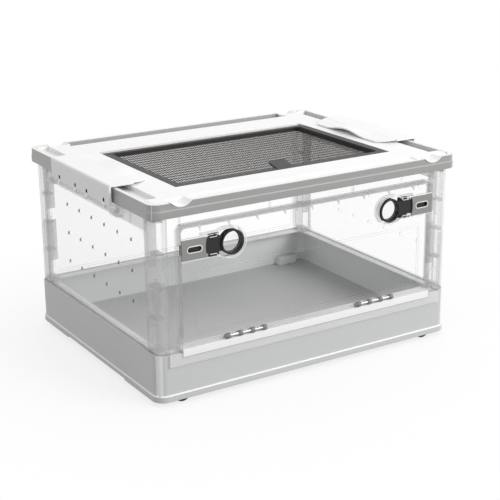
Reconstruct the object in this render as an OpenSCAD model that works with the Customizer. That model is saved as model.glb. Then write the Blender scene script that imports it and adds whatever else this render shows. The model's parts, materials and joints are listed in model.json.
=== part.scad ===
/* [Overall] */
// Width over the top rim
rim_w = 460; // [400:2:540]
// Depth over the top rim, front to back
rim_d = 360; // [320:2:420]
// Radius of the outer corners of the rim
corner_r = 14; // [10:1:20]
// Height of the clear walls between the tub and the rim
wall_h = 171.5; // [160:0.5:220]

/* [Base tub] */
// Height of the tub above the underside of its lip
tub_h = 61; // [55:1:80]
// How far the rim stands out past the tub on every side
rim_overhang = 5; // [4.5:0.5:7]
// Thickness of the tub's side walls
tub_wall = 3; // [2:0.5:4]
// Width of the inward ledge that carries the clear walls
ledge_w = 16; // [14:1:22]
// Thickness of that ledge
ledge_t = 3; // [2:0.5:4]
// Height of the foot lip round the bottom
lip_h = 8.2; // [6:0.2:12]
// How far the foot lip stands out
lip_out = 1.8; // [1:0.2:2.4]
// Thickness of the tub's floor
floor_t = 2.5; // [2:0.5:4]
// Space under the floor, where its ribs are
under_h = 4.5; // [4:0.5:8]
// Length of the shallow hand recess under each side
hand_l = 172; // [120:4:200]
// Height of that recess
hand_h = 2; // [1:0.5:3]

/* [Wheels] */
// Wheel radius
wheel_r = 12; // [10:0.2:13]
// Wheel width
wheel_w = 8; // [6:0.5:9]
// How far the wheels stand below the foot lip
wheel_drop = 5.5; // [3:0.5:6]
// Distance of each wheel's axle from the side of the tub
wheel_in = 36; // [33:1:60]
// Distance of the wheels behind the tub's front and back faces
wheel_behind = 3.5; // [3.5:0.5:6]
// Radius of the wheel axles
axle_r = 2; // [1.5:0.25:3]
// Radius of the troughs in the lid that take the wheels of a box above
trough_r = 17.5; // [17:0.5:22]

/* [Clear walls] */
// How far the walls stand in from the tub's outer faces
wall_inset = 1.5; // [1:0.5:3]
// Thickness of the clear sheets
sheet_t = 2.4; // [2:0.2:3]
// Depth of the stiffening border of the side walls
border_t = 4.9; // [3.5:0.1:7]
// Height of the border above the side windows
side_rail_h = 21; // [16:1:26]
// Corner radius of the side windows
side_r = 14; // [6:1:20]
// Diameter of the vent holes
vent_d = 7; // [4:0.5:10]
// Vent holes in a row
vent_cols = 6; // [3:1:6]
// Rows of vent holes
vent_rows = 3; // [1:1:3]
// Distance between vent holes along a row
vent_pitch = 37; // [20:1:38]
// Distance between rows
vent_row_pitch = 39.5; // [20:0.5:42]
// Height from the tub to the lowest row
vent_low = 53; // [35:1:60]
// How far the vent grid sits towards the front
vent_shift = 22.6; // [0:0.2:26]
// Width of a corner post along the front
post_w = 16.5; // [14:0.5:22]
// Depth of a corner post along the side
post_d = 25; // [22:0.5:34]
// Wall of the corner posts
post_t = 2; // [1.6:0.2:2.6]
// Length of the return behind each post's side leg
post_return = 15.5; // [8:0.5:18]
// Height of the lower cut-out in the posts' returns
cut_low_h = 25.5; // [10:0.5:30]
// Distance of the upper cut-out above the tub
cut_high = 90; // [60:1:110]
// Height of the upper cut-out
cut_high_h = 17; // [8:1:20]
// Rungs in each corner post
rung_n = 5; // [3:1:7]
// Thickness of a rung
rung_t = 1.6; // [1.2:0.2:2.4]

/* [Top rim] */
// Height of the rim's outer band
rim_h = 18.5; // [17:0.5:24]
// Wall of the rim beside the lid
rim_wall = 6.8; // [5:0.2:8]
// How deep the walls plug into the rim
plug = 5; // [4:0.5:6]
// Thickness of the shelf inside the rim
shelf_t = 3; // [2:0.5:4]
// Width of that shelf
shelf_w = 26; // [22:1:30]
// Height of the lower, slightly wider half of the band
band_low = 9.5; // [7:0.5:12]
// How far the upper half of the band stands back
band_step = 0.8; // [0.4:0.1:1.2]

/* [Front frame and sill] */
// How far the clear front and back plates stop short of the walls' corners
frame_in = 14.5; // [12:0.5:20]
// How far the plates hang down over the tub
apron = 16; // [10:1:24]
// Width of the plate beside the doorway
frame_side = 18; // [16:0.5:40]
// Height of the doorway above the tub
door_h = 157; // [135:1:158]
// How far the doorway reaches below the top of the tub
door_low = 6; // [4:1:8]
// Corner radius of the doorway
doorway_r = 8; // [4:1:14]
// Depth of the flange round the doorway
jamb_d = 11.8; // [8:0.2:14]
// Thickness of the flanges and ribs
rib_t = 2; // [1.2:0.2:2.4]
// Small ribs above the doorway
tick_n = 4; // [2:1:6]
// Distance of the outer ones from the ends of the plate
tick_in = 20; // [16:1:60]
// Height of the sill above the tub
sill_t = 4; // [3:0.5:6]
// Depth of the sill's top
sill_d = 18; // [14:1:22]

/* [Door] */
// Gap round the door
door_gap = 0.8; // [0.5:0.1:1.2]
// Height of the hinge axis above the sill
hinge_up = 4; // [3.8:0.1:5]
// Radius of the dark hinge knuckles
knuckle_r = 3.6; // [3:0.1:3.7]
// Width of a dark knuckle
knuckle_w = 4.5; // [4:0.5:9]
// Distance from one dark knuckle to the next
knuckle_pitch = 17.75; // [15:0.25:20]
// Distance of each hinge's middle from the side of the doorway
hinge_in = 91; // [60:1:120]
// Radius of the hinge pins
pin_r = 1.5; // [1:0.1:2]
// Depth of the door's edge flange
door_flange = 9.3; // [6:0.1:10]
// Small ribs along the top of the door
gusset_n = 9; // [5:2:9]
// Distance of the outer ones from the sides of the doorway
gusset_in = 29; // [20:1:50]
// Distance of the raised border inside the door from the sides of the doorway
pane_in = 18; // [16:1:40]
// Height of the raised border
pane_h = 83; // [60:1:85]

/* [Door latches] */
// Distance of each ring's middle from the side of the doorway
ring_in = 71; // [62:1:100]
// Distance of the rings below the top of the doorway
ring_down = 28.5; // [24:0.5:34]
// Outer radius of the ring
ring_r = 15.8; // [14:0.2:19]
// Wall of the ring
ring_wall = 2.2; // [1.8:0.2:5]
// Height of the slider's neck
neck_h = 18.4; // [14:0.2:22]
// Travel of the bolt
bolt_travel = 8; // [5:0.5:10]
// Height of the bolt's tongue
bolt_h = 12; // [8:0.5:14]
// Height of the grey cover plate
cover_h = 25.3; // [23:0.1:28]
// Thickness of the cover plate
cover_t = 1.7; // [1.2:0.1:2]
// Length of the slot in the cover plate
slot_l = 19; // [14:1:24]
// Width of that slot
slot_w = 6.6; // [4:0.2:7]
// Depth of the latch pocket behind the door's face
pocket_d = 6.5; // [5:0.1:7]

/* [Lid] */
// Thickness of the lid's raised top above its channels
channel_d = 6; // [2:0.5:7]
// Depth of the step along the front
front_step = 1.5; // [1:0.5:3]
// Thickness of the lid's sheet
lid_t = 2.5; // [2:0.5:3.5]
// Width of the channels at the sides
channel_side = 17; // [12:0.5:18]
// Width of the channel at the back
channel_back = 23; // [14:0.5:26]
// Width of the channel at the front
channel_front = 15; // [10:0.5:18]
// Gap round the lid
lid_gap = 0.5; // [0.3:0.1:0.8]

/* [Mesh window] */
// Width of the lid beside the window, measured from the rim's outer side
win_beside = 67; // [65:1:90]
// Depth of the lid before and behind the window, shared between both
win_before = 73; // [72:1:90]
// How far the window sits towards the front
win_shift = 12; // [8:1:16]
// Width of the window frame's bars
bar_w = 8; // [7:0.5:12]
// Height of the bars
bar_h = 6.2; // [5.5:0.1:7.5]
// How far the frame lies below the lid's top
win_sink = 2; // [1.5:0.5:3]
// Gap round the window frame
win_gap = 0.6; // [0.4:0.1:1]
// Radius of the window's hinge pins
win_pin_r = 1.25; // [1:0.05:1.6]
// Width of the pull tab
tab_w = 25; // [16:1:34]
// Length of the pull tab
tab_l = 27; // [16:1:32]
// Openings in the net along its width
net_cols = 20; // [8:1:20]
// Openings in the net along its depth
net_rows = 14; // [6:1:15]
// Width of a strand of the net
strand_w = 1.6; // [1:0.2:3]
// Thickness of the net
net_t = 0.8; // [0.6:0.1:1.2]

/* [Lid clamps] */
// Length of each clamp
clamp_l = 172; // [120:2:200]
// Thickness of the clamps
clamp_t = 2.8; // [2:0.2:3.2]
// Gap between the clamp and the top of the lid
clamp_gap = 2.2; // [1.8:0.1:3]
// Radius of the clamp's rod
rod_r = 3.75; // [2:0.25:4.5]
// Distance of the rod below the rim
rod_down = 5.2; // [4.8:0.1:6]
// Distance of the rod outside the rim
rod_out = 3; // [2.6:0.1:4]
// Wall of the ears round the rod
ear_wall = 2; // [1.5:0.25:3]
// How far the ears hang lower than the wall round the rod
ear_drop = 1.5; // [0:0.25:2]
// Width of each ear that holds the rod
ear_w = 11; // [8:1:24]
// Flat part of the clamp's top, measured in from the rod
clamp_flat = 30; // [26:1:34]
// Reach of the finger lip past the flat part
lip_reach = 25; // [18:1:28]
// Rise of the middle of the finger lip
lip_rise = 3; // [1.5:0.5:5]
// Distance from the two inner hooks to the middle of the row
hook_near = 17; // [8:0.5:30]
// Distance from the two outer hooks to the middle of the row
hook_far = 65.5; // [40:0.5:74]
// How far the row of hooks sits towards the front
hook_shift = 4.5; // [0:0.5:6]
// Width of a hook
hook_w = 7; // [3:0.5:8]

/* [Hidden] */
$fn = 64;

// clearances
move_gap = 0.4;
seat_gap = 0.3;
run_gap = 0.05;
hold_gap = 0.02;
far = 500;

// colours
tub_grey = [0.82, 0.83, 0.82];
rim_grey = [0.64, 0.64, 0.63];
lid_white = [0.96, 0.96, 0.95];
clear_tint = [0.88, 0.92, 0.93, 0.35];
dark = [0.08, 0.08, 0.09];
net_grey = [0.2, 0.19, 0.19];
steel = [0.62, 0.63, 0.65];

// heights, with the wheels standing on zero
z_lip = wheel_drop;
z_under = z_lip + under_h;
z_floor = z_under + floor_t;
z_tub = z_lip + tub_h;
z_rim = z_tub + wall_h;
z_top = z_rim + rim_h;
z_shelf = z_rim + plug;
z_seat = z_shelf + shelf_t;
z_plug = z_shelf - 0.2;

// plan sizes
tub_w = rim_w - 2 * rim_overhang;
tub_d = rim_d - 2 * rim_overhang;
tub_r = corner_r;
wall_w = tub_w - 2 * wall_inset;
wall_d = tub_d - 2 * wall_inset;
wall_r = tub_r - wall_inset;
plate_back = tub_d / 2 + seat_gap;
plate_face = plate_back + sheet_t + 0.1;
plate_t = plate_face - plate_back;
post_y = wall_d / 2 - post_d;

// doorway, door and its hinge
frame_w = wall_w - 2 * frame_in;
door_w = frame_w - 2 * frame_side;
tick_pitch = (frame_w - 2 * tick_in) / (tick_n - 1);
hinge_x = door_w / 2 - hinge_in;
ring_x = door_w / 2 - ring_in;
gusset_pitch = (door_w - 2 * gusset_in) / (gusset_n - 1);
pane_w = door_w - 2 * pane_in;
z_door_bot = z_tub - door_low;
z_door_top = z_tub + door_h;
z_sill = z_tub + sill_t;
hinge_z = z_sill + hinge_up;
hinge_y = -(rim_d / 2 - 0.2 - knuckle_r);
door_face = -(plate_face - 0.5);
door_in = door_face + plate_t;
leaf_w = door_w - 2 * door_gap;
leaf_bot = hinge_z - pin_r;
leaf_top = z_door_top - door_gap;
leaf_back = door_in + door_flange - plate_t;
knuckle_n = 4;
door_knuckle_r = knuckle_r - 0.2;
bracket_l = (knuckle_n - 1) * knuckle_pitch + knuckle_w;
door_knuckle_w = knuckle_pitch - knuckle_w - 2 * move_gap;

// latch layers, counted back from the door's face
ring_z = z_door_top - ring_down;
pocket_y = door_face + pocket_d;
slide_back = pocket_y - move_gap;
slide_face = door_face + move_gap;
bolt_face = -plate_back + move_gap + 0.1;
ring_face = -(rim_d / 2 - 0.4);
pocket_r = ring_r + 1.5;
cover_arc = 37.5;
cover_x = ring_x + cover_arc - 2.5;
wing_h = neck_h + 9;
wing_l = 14;
slit_l = 11.6;
slit_w = 1.9;
slit_z = neck_h / 2 + 3.4;

// the lid
lid_w = rim_w - 2 * rim_wall - 2 * lid_gap;
lid_d = rim_d - 2 * rim_wall - 2 * lid_gap;
lid_r = corner_r - rim_wall + 2;
lid_floor = z_top - channel_d;
lid_base = lid_floor - lid_t;
plateau_x = rim_w / 2 - rim_wall - channel_side;
plateau_back = rim_d / 2 - rim_wall - channel_back;
plateau_front = -(rim_d / 2 - rim_wall - channel_front);
wheel_x = tub_w / 2 - wheel_in;
wheel_y = tub_d / 2 - wheel_behind - wheel_w / 2;
trough_z = z_top - wheel_drop + trough_r;
trough_wall = 1.2;
trough_in = wheel_y - wheel_w / 2 - 2;

// the window in the lid
win_w = rim_w - 2 * win_beside;
win_d = rim_d - 2 * win_before;
win_y = -win_shift;
win_top = z_top - win_sink;
win_bot = win_top - bar_h;
roll_r = bar_w / 2 - 0.1;
win_hinge_y = win_y + win_d / 2 - roll_r;
win_hinge_z = win_top - roll_r;
collar_t = 2;
collar_in_w = win_w + 2 * win_gap;
collar_front = win_y - win_d / 2 - win_gap;
collar_back = win_hinge_y + roll_r + 1.1;
collar_bot = z_seat + seat_gap;

// the clamps
rod_x = rim_w / 2 + rod_out;
rod_z = z_rim - rod_down;
rod_eye = rod_r + 1.2;
clamp_out = rod_x + 3.5;
clamp_top = z_top + clamp_gap + clamp_t;
clamp_low = rod_z + 2.7;
lip_l = clamp_l - 4;
hooks = [for (y = [-hook_far, -hook_near, hook_near, hook_far]) y - hook_shift];

module rounded(w, d, r) {
    square([w - 2 * r, d], center = true);
    square([w, d - 2 * r], center = true);
    for (sx = [-1, 1], sy = [-1, 1])
        translate([sx * (w / 2 - r), sy * (d / 2 - r)])
            circle(r = r);
}

// upright block with a rounded plan
module slab(w, d, r, z0, z1) {
    translate([0, 0, z0])
        linear_extrude(z1 - z0)
            rounded(w, d, r);
}

// block given by its two corners
module span(a, b) {
    translate(a) cube(b - a);
}

// rod along X between two stations
module rod_along_x(x0, x1, y, z, r) {
    translate([x0, y, z])
        rotate([0, 90, 0]) cylinder(h = x1 - x0, r = r);
}

// rod along Y between two stations
module rod_along_y(x, y0, y1, z, r) {
    translate([x, y0, z])
        rotate([-90, 0, 0]) cylinder(h = y1 - y0, r = r);
}

// flat piece drawn in X and Z and given its thickness along Y
module upright(y0, y1) {
    translate([0, y1, 0])
        rotate([90, 0, 0]) linear_extrude(y1 - y0) children();
}

// the four corners of the box, drawn once at the front left
module at_corner(right, back) {
    mirror([right, 0, 0]) mirror([0, back, 0]) children();
}

// Base

module wheel_housing() {
    span([-wheel_x - wheel_r - 3.5, -tub_d / 2 + tub_wall / 2, z_lip],
        [-wheel_x + wheel_r + 3.5, -wheel_y + wheel_w / 2 + 3, 2 * wheel_r + 3.1]);
}

module wheel_well() {
    span([-wheel_x - wheel_r - 1.5, -wheel_y - wheel_w / 2 - 0.8, -1],
        [-wheel_x + wheel_r + 1.5, -wheel_y + wheel_w / 2 + 1, 2 * wheel_r + 1.1]);
    rod_along_y(-wheel_x, -wheel_y - wheel_w / 2 - 2.6, -wheel_y + wheel_w / 2 + 4,
        wheel_r, axle_r + hold_gap);
}

module base_tub() {
    in_w = tub_w - 2 * tub_wall;
    in_d = tub_d - 2 * tub_wall;
    color(tub_grey) difference() {
        union() {
            difference() {
                union() {
                    slab(tub_w, tub_d, tub_r, z_lip, z_tub);
                    slab(tub_w + 2 * lip_out, tub_d + 2 * lip_out, tub_r + lip_out,
                        z_lip, z_lip + lip_h);
                }
                slab(in_w, in_d, tub_r - tub_wall, z_floor, z_tub - ledge_t);
                slab(tub_w - 2 * ledge_w, tub_d - 2 * ledge_w, 6, z_floor, z_tub + 1);
                slab(in_w, in_d, tub_r - tub_wall, z_lip - 1, z_under);
            }
            for (x = [-0.3, -0.1, 0.1, 0.3] * tub_w)
                span([x - 0.8, -in_d / 2 - 1, z_lip + 1], [x + 0.8, in_d / 2 + 1, z_under + 1]);
            for (y = [-0.25, 0, 0.25] * tub_d)
                span([-in_w / 2 - 1, y - 0.8, z_lip + 1], [in_w / 2 + 1, y + 0.8, z_under + 1]);
            for (right = [0, 1], back = [0, 1])
                at_corner(right, back) wheel_housing();
        }
        for (right = [0, 1], back = [0, 1])
            at_corner(right, back) wheel_well();
        for (side = [-1, 1])
            translate([side * tub_w / 2, 0, z_lip])
                cube([4 * tub_wall + 2 * lip_out, hand_l, 2 * hand_h], center = true);
    }
}

// Wheels and axles

module axle() {
    color(steel)
        rod_along_y(-wheel_x, -wheel_y - wheel_w / 2 - 2.4, -wheel_y + wheel_w / 2 + 2.8,
            wheel_r, axle_r);
}
module axle_front_left() { at_corner(0, 0) axle(); }
module axle_front_right() { at_corner(1, 0) axle(); }
module axle_back_left() { at_corner(0, 1) axle(); }
module axle_back_right() { at_corner(1, 1) axle(); }

module wheel() {
    half = wheel_w / 2;
    hub = axle_r + 2.4;
    tread = wheel_r - 2.4;
    color(dark)
        translate([-wheel_x, -wheel_y, wheel_r])
            rotate([90, 0, 0])
                rotate_extrude($fn = 72)
                    polygon([[axle_r + run_gap, -half], [hub, -half], [hub, -half + 1.4],
                        [tread, -half + 1.4], [tread, -half], [wheel_r - 0.8, -half],
                        [wheel_r, -half + 0.8], [wheel_r, half - 0.8], [wheel_r - 0.8, half],
                        [tread, half], [tread, half - 1.4], [hub, half - 1.4], [hub, half],
                        [axle_r + run_gap, half]]);
}
module wheel_front_left() { at_corner(0, 0) wheel(); }
module wheel_front_right() { at_corner(1, 0) wheel(); }
module wheel_back_left() { at_corner(0, 1) wheel(); }
module wheel_back_right() { at_corner(1, 1) wheel(); }

// Corner posts

module post() {
    x1 = -wall_w / 2;
    y1 = -wall_d / 2;
    x2 = x1 + post_w;
    y2 = y1 + post_d;
    rung_step = (wall_h - 10) / (rung_n - 1);
    color(clear_tint) {
        intersection() {
            span([x1 - 1, y1 - 1, z_tub], [x2, y2, z_plug]);
            difference() {
                slab(wall_w, wall_d, wall_r, z_tub, z_plug);
                slab(wall_w - 2 * post_t, wall_d - 2 * post_t, wall_r - post_t,
                    z_tub - 1, z_plug + 1);
            }
        }
        difference() {
            union() {
                span([x2 - post_t, y1 + post_t / 2, z_tub], [x2, y1 + 10, z_plug]);
                span([x1 + post_t / 2, y2 - post_t, z_tub], [x1 + post_return, y2, z_plug]);
            }
            for (z = [[z_tub + 6.3, cut_low_h], [z_tub + cut_high, cut_high_h]]) {
                span([x2 - post_t - 1, y1 + post_t + 2, z[0]], [x2 + 1, y1 + 11, z[0] + z[1]]);
                span([x1 + post_t + 2, y2 - post_t - 1, z[0]],
                    [x1 + post_return + 1, y2 + 1, z[0] + z[1]]);
            }
        }
        intersection() {
            slab(wall_w - post_t, wall_d - post_t, wall_r - post_t / 2, z_tub, z_plug);
            for (i = [0:rung_n - 1])
                span([x1, y1, z_tub + 5 + i * rung_step - rung_t / 2],
                    [x2 - post_t / 2, y2 - post_t / 2, z_tub + 5 + i * rung_step + rung_t / 2]);
        }
    }
}
module post_front_left() { at_corner(0, 0) post(); }
module post_front_right() { at_corner(1, 0) post(); }
module post_back_left() { at_corner(0, 1) post(); }
module post_back_right() { at_corner(1, 1) post(); }

// Side walls

module rod_ear(y0) {
    intersection() {
        rod_along_y(-rod_x + ear_drop, y0, y0 + ear_w, rod_z - ear_drop,
            rod_r + ear_wall + ear_drop);
        span([-far, y0 - 1, 0], [0, y0 + ear_w + 1, z_rim - 0.2]);
    }
    span([-rod_x + ear_drop, y0, rod_z - rod_r - ear_wall - 2 * ear_drop],
        [-wall_w / 2 - sheet_t / 2 + 2, y0 + ear_w, z_rim - 0.2]);
}

module side_wall() {
    x1 = -wall_w / 2;
    half = post_y - seat_gap;
    win_half = half - 3;
    vent_mid = -vent_shift;
    color(clear_tint) difference() {
        union() {
            span([x1, -half, z_tub], [x1 + sheet_t, half, z_plug]);
            difference() {
                span([x1, -half, z_tub], [x1 + border_t, half, z_plug]);
                translate([x1 + sheet_t, 0, (z_tub + 4 + z_rim - side_rail_h) / 2])
                    rotate([90, 0, 90])
                        linear_extrude(border_t)
                            rounded(2 * win_half, z_rim - side_rail_h - z_tub - 4, side_r);
            }
            for (y = [-1, 1] * (half - 32))
                span([x1 - 1.2, y - 0.8, z_rim - side_rail_h + 4], [x1 + 1, y + 0.8, z_rim - 0.4]);
            rod_ear(clamp_l / 2 + 2);
            rod_ear(-clamp_l / 2 - 2 - ear_w);
        }
        for (i = [0:vent_cols - 1], j = [0:vent_rows - 1])
            translate([x1 - 1, vent_mid + (i - (vent_cols - 1) / 2) * vent_pitch,
                    z_tub + vent_low + j * vent_row_pitch])
                rotate([0, 90, 0]) cylinder(h = border_t + 2, d = vent_d, $fn = 32);
        rod_along_y(-rod_x, -far / 2, far / 2, rod_z, rod_r + hold_gap);
    }
}
module left_wall() { side_wall(); }
module right_wall() { mirror([1, 0, 0]) side_wall(); }

module clamp_rod() {
    color(clear_tint)
        rod_along_y(-rod_x, -clamp_l / 2 - 1.5 - ear_w, clamp_l / 2 + 1.5 + ear_w, rod_z, rod_r);
}
module clamp_rod_left() { clamp_rod(); }
module clamp_rod_right() { mirror([1, 0, 0]) clamp_rod(); }

// Front frame, back wall and sill

module doorway(grow) {
    w = door_w + 2 * grow;
    z0 = z_door_bot - far;
    z1 = z_door_top + grow;
    r = doorway_r + grow;
    translate([-w / 2, z0]) square([w, z1 - r - z0]);
    translate([-w / 2 + r, z0]) square([w - 2 * r, z1 - z0]);
    for (side = [-1, 1])
        translate([side * (w / 2 - r), z1 - r]) circle(r = r);
}

// thin flanges at both ends of a front or back plate, seated on the corner posts
module plate_ends() {
    for (side = [-1, 1])
        translate([side * (frame_w / 2 - rib_t / 2), 0, 0])
            span([-rib_t / 2, -plate_face, z_tub + 0.2], [rib_t / 2, -wall_d / 2, z_plug]);
}

module front_frame() {
    z0 = z_tub - apron;
    x0 = door_w / 2;
    color(clear_tint) difference() {
        union() {
            difference() {
                span([-frame_w / 2, -plate_face, z0], [frame_w / 2, -plate_back, z_plug]);
                intersection() {
                    upright(-plate_face - 1, -plate_back + 1) doorway(0);
                    span([-far, -far, z_door_bot], [far, far, far]);
                }
            }
            intersection() {
                upright(-plate_face, -plate_face + jamb_d)
                    difference() {
                        doorway(rib_t);
                        doorway(0);
                    }
                span([-far, -far, z_sill + 0.3], [far, far, far]);
            }
            plate_ends();
            for (i = [0:tick_n - 1])
                translate([-frame_w / 2 + tick_in + i * tick_pitch, 0, 0])
                    span([-0.7, -plate_face + 0.5, z_door_top + 1], [0.7, -plate_back + 6, z_rim - 0.5]);
        }
        for (side = [-1, 1])
            translate([side * (x0 + 1), (bolt_face + slide_back) / 2, ring_z])
                cube([2 * rib_t + 2, slide_back - bolt_face + 2 * move_gap,
                    bolt_h + 2 * move_gap], center = true);
    }
}

module back_wall() {
    z0 = z_tub - apron;
    w = wall_w - 2 * post_w - 2;
    color(clear_tint) mirror([0, 1, 0]) {
        span([-frame_w / 2, -plate_face, z0], [frame_w / 2, -plate_back, z_plug]);
        plate_ends();
        upright(-plate_back - 0.1, -plate_back + 2.5)
            translate([0, (z_tub + 4 + z_rim - 6) / 2])
                difference() {
                    rounded(w, z_rim - z_tub - 10, 12);
                    rounded(w - 6, z_rim - z_tub - 16, 9);
                }
    }
}

module door_sill() {
    w = door_w - 0.6;
    color(lid_white) {
        span([-w / 2, -plate_face, z_door_bot + 0.3], [w / 2, -plate_back, z_sill]);
        span([-w / 2, -plate_back - 0.1, z_tub], [w / 2, -plate_face + sill_d, z_sill]);
    }
}

// Top rim

module trough_cut(r) {
    translate([0, -rim_d / 2 - 1, 0])
        rod_along_y(-wheel_x, 0, rim_wall + 2, trough_z, r);
}

module top_rim() {
    cavity_w = wall_w + 0.4;
    cavity_d = 2 * plate_face + 0.4;
    color(rim_grey) difference() {
        union() {
            slab(rim_w, rim_d, corner_r, z_rim, z_rim + band_low);
            slab(rim_w - 2 * band_step, rim_d - 2 * band_step, corner_r - band_step,
                z_rim + band_low - 0.1, z_top);
        }
        slab(cavity_w, cavity_d, corner_r - 2, z_rim - 1, z_shelf);
        slab(rim_w - 2 * shelf_w, rim_d - 2 * shelf_w, 8, z_rim - 1, z_top + 1);
        slab(rim_w - 2 * rim_wall, rim_d - 2 * rim_wall, lid_r + lid_gap, z_seat, z_top + 1);
        for (right = [0, 1], back = [0, 1])
            at_corner(right, back) trough_cut(trough_r + trough_wall + move_gap);
    }
}

// Door

module hinge_bracket() {
    first = -(knuckle_n - 1) / 2 * knuckle_pitch;
    color(dark) difference() {
        union() {
            for (i = [0:knuckle_n - 1])
                translate([-hinge_x + first + i * knuckle_pitch, 0, 0]) {
                    rod_along_x(-knuckle_w / 2, knuckle_w / 2, hinge_y, hinge_z, knuckle_r);
                    span([-knuckle_w / 2, hinge_y, z_sill],
                        [knuckle_w / 2, hinge_y + 7, hinge_z]);
                }
            span([-hinge_x - bracket_l / 2, hinge_y + knuckle_r + move_gap, z_sill],
                [-hinge_x + bracket_l / 2, hinge_y + knuckle_r + 4.5, z_sill + 1.2]);
        }
        rod_along_x(-hinge_x - bracket_l, -hinge_x + bracket_l, hinge_y, hinge_z,
            pin_r + hold_gap);
    }
}
module hinge_bracket_left() { hinge_bracket(); }
module hinge_bracket_right() { mirror([1, 0, 0]) hinge_bracket(); }

module door_pin() {
    color(steel)
        rod_along_x(-hinge_x - bracket_l / 2, -hinge_x + bracket_l / 2, hinge_y, hinge_z, pin_r);
}
module door_pin_left() { door_pin(); }
module door_pin_right() { mirror([1, 0, 0]) door_pin(); }

// keyhole outline of the latch pocket, drawn in X and Z for the left latch
module keyhole(grow) {
    r = pocket_r + grow;
    translate([-ring_x, ring_z]) circle(r = r);
    translate([-ring_x - bolt_travel, ring_z]) circle(r = r);
    translate([-ring_x - bolt_travel, ring_z - r]) square([bolt_travel, 2 * r]);
    translate([-leaf_w / 2 + rib_t + grow - 0.2, ring_z - neck_h / 2 - 1 - grow])
        square([leaf_w / 2 - rib_t - grow - ring_x + 0.2, neck_h + 2 + 2 * grow]);
}

// room behind the face for the slider's wings
module wing_room(grow) {
    translate([-ring_x - ring_r - wing_l - 1.4 - bolt_travel - grow, ring_z - wing_h / 2 - move_gap - grow])
        square([wing_l + bolt_travel + 1 + 2 * grow, wing_h + 2 * move_gap + 2 * grow]);
}

// thin slits beside the neck, the upper one with a small peak
module wing_slits() {
    translate([-ring_x - ring_r - 5.4 - slit_l, ring_z]) {
        for (s = [-1, 1])
            translate([0, s * slit_z - slit_w / 2]) square([slit_l, slit_w]);
        translate([0.7 * slit_l, slit_z]) polygon([[-2, 0], [2, 0], [0, slit_w / 2 + 1.5]]);
    }
}

// outline of the raised edge round the whole latch
module latch_surround(grow) {
    translate([-ring_x, ring_z]) circle(r = pocket_r + 2 + grow);
    translate([-leaf_w / 2, ring_z - cover_h / 2 - 0.5 - grow])
        square([leaf_w / 2 - ring_x, cover_h + 1 + 2 * grow]);
}

module leaf_outline(inset) {
    r = doorway_r - door_gap - inset * 0.5;
    w = leaf_w - 2 * inset;
    z0 = leaf_bot + inset;
    z1 = leaf_top - inset;
    translate([-w / 2, z0]) square([w, z1 - z0 - r]);
    translate([-w / 2 + r, z0]) square([w - 2 * r, z1 - z0]);
    for (side = [-1, 1])
        translate([side * (w / 2 - r), z1 - r]) circle(r = r);
}

module door_latch_side() {
    // pocket shell behind the face, and the raised edge round it
    upright(door_face + 0.5, pocket_y + 1.8) {
        keyhole(1.8);
        wing_room(1.8);
    }
    upright(door_face - 0.8, door_face + 0.5) difference() {
        latch_surround(1.3);
        latch_surround(0);
    }
    upright(door_face - 0.6, door_face + 0.5) difference() {
        keyhole(0.9);
        keyhole(0);
        translate([-leaf_w / 2 - 1, ring_z - 50]) square([leaf_w / 2 - cover_x + 5, 100]);
    }
}

module door_panel() {
    first = -(knuckle_n - 2) / 2 * knuckle_pitch;
    color(clear_tint) difference() {
        union() {
            upright(door_face, door_in) leaf_outline(0);
            upright(door_face, leaf_back) difference() {
                leaf_outline(0);
                leaf_outline(rib_t);
            }
            upright(door_in - 0.1, door_in + 0.9)
                translate([0, leaf_bot + 11 + pane_h / 2]) difference() {
                    rounded(pane_w, pane_h, 8);
                    rounded(pane_w - 6, pane_h - 6, 5.5);
                }
            for (i = [0:gusset_n - 1])
                translate([(i - (gusset_n - 1) / 2) * gusset_pitch - 0.8, door_in - 0.1, leaf_top - rib_t])
                    rotate([90, 0, 90])
                        linear_extrude(1.6)
                            polygon([[0, 0.5], [leaf_back - door_in, 0.5],
                                [leaf_back - door_in, 0], [0, -6]]);
            for (side = [0, 1])
                mirror([side, 0, 0]) door_latch_side();
            for (side = [-1, 1], i = [0:knuckle_n - 2])
                translate([side * hinge_x + first + i * knuckle_pitch, 0, 0]) {
                    rod_along_x(-door_knuckle_w / 2, door_knuckle_w / 2, hinge_y, hinge_z,
                        door_knuckle_r);
                    span([-door_knuckle_w / 2, door_face, hinge_z],
                        [door_knuckle_w / 2, door_in, hinge_z + 5]);
                }
        }
        // latch pockets, and the way out for the bolt
        for (side = [0, 1])
            mirror([side, 0, 0]) {
                upright(door_face - 2, pocket_y) keyhole(0);
                upright(door_face + 1.3, pocket_y) wing_room(0);
                upright(door_face - 2, door_face + 1.4) wing_slits();
                span([-leaf_w / 2 - 1, bolt_face - move_gap, ring_z - bolt_h / 2 - move_gap],
                    [-leaf_w / 2 + rib_t + 4, slide_back + move_gap, ring_z + bolt_h / 2 + move_gap]);
            }
        // room for the dark knuckles
        for (side = [-1, 1], i = [0:knuckle_n - 1])
            translate([side * hinge_x + (i - (knuckle_n - 1) / 2) * knuckle_pitch, 0, 0])
                span([-knuckle_w / 2 - move_gap, door_face - 8, hinge_z - 8],
                    [knuckle_w / 2 + move_gap, leaf_back + 1, hinge_z + knuckle_r + 0.5]);
        for (side = [-1, 1])
            rod_along_x(side * hinge_x - bracket_l / 2, side * hinge_x + bracket_l / 2,
                hinge_y, hinge_z, pin_r + run_gap);
    }
}

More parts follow.
